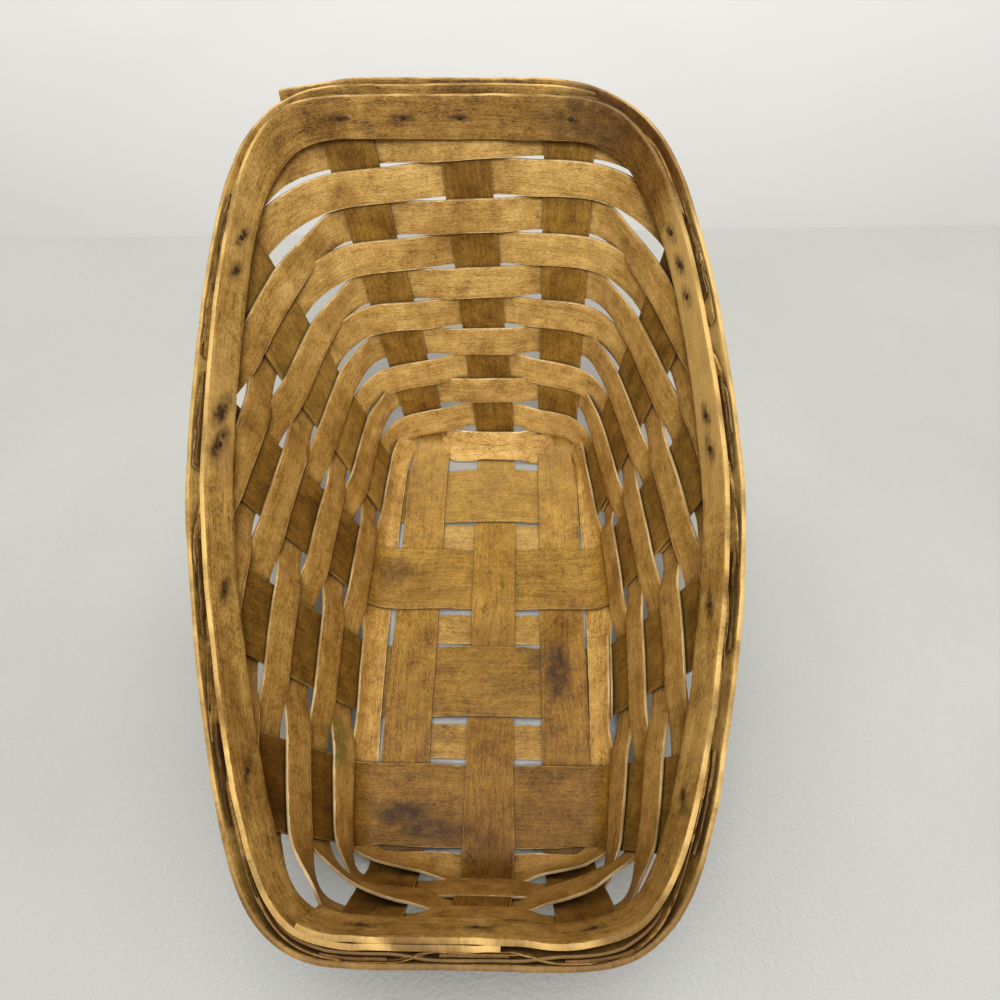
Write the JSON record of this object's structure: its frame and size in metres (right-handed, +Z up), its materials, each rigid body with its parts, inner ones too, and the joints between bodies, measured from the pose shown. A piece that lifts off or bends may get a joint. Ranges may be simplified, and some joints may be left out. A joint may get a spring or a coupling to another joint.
{
  "type": "woven splint basket",
  "caption": "Rectangular woven wood splint basket, low open front rising to a tall back, curved tacked rim bands, plaited floor.",
  "frame": {"origin": "middle of the basket's outline on the surface that it stands on", "axes": "+Z up, +Y from the low front to the tall back, +X to the right seen from the front"},
  "size_m": [0.1562, 0.2262, 0.1386],
  "materials": {
    "end_splint_wood": "satin, aged honey stain",
    "side_splint_wood": "satin, darker aged stain",
    "filler_wood": "satin, aged honey stain",
    "weaver_wood": "satin, aged honey stain",
    "band_wood": "satin, edges worn pale",
    "tack_iron": "dark, rusted"
  },
  "bodies": {
    "root": {"end_splint_left": "end_splint_wood", "end_splint_center": "end_splint_wood", "end_splint_right": "end_splint_wood", "side_splint_1": "side_splint_wood", "side_splint_2": "side_splint_wood", "side_splint_3": "side_splint_wood", "side_splint_4": "side_splint_wood", "floor_filler_1": "filler_wood", "floor_filler_2": "filler_wood", "floor_filler_3": "filler_wood", "weaver_row_01": "weaver_wood", "weaver_row_02": "weaver_wood", "weaver_row_03": "weaver_wood", "weaver_row_04": "weaver_wood", "weaver_row_05": "weaver_wood", "weaver_row_06": "weaver_wood", "weaver_row_07": "weaver_wood", "weaver_row_08": "weaver_wood", "weaver_row_09": "weaver_wood", "weaver_row_10": "weaver_wood", "weaver_row_11": "weaver_wood", "rim_band_inner": "band_wood", "rim_band_outer": "band_wood", "tack_01": "tack_iron", "tack_02": "tack_iron", "tack_03": "tack_iron", "tack_04": "tack_iron", "tack_05": "tack_iron", "tack_06": "tack_iron", "tack_07": "tack_iron", "tack_08": "tack_iron", "tack_09": "tack_iron", "tack_10": "tack_iron", "tack_11": "tack_iron", "tack_12": "tack_iron", "tack_13": "tack_iron", "tack_14": "tack_iron", "tack_15": "tack_iron", "tack_16": "tack_iron", "tack_17": "tack_iron", "tack_18": "tack_iron", "tack_19": "tack_iron", "tack_20": "tack_iron"}
  },
  "joints": []
}
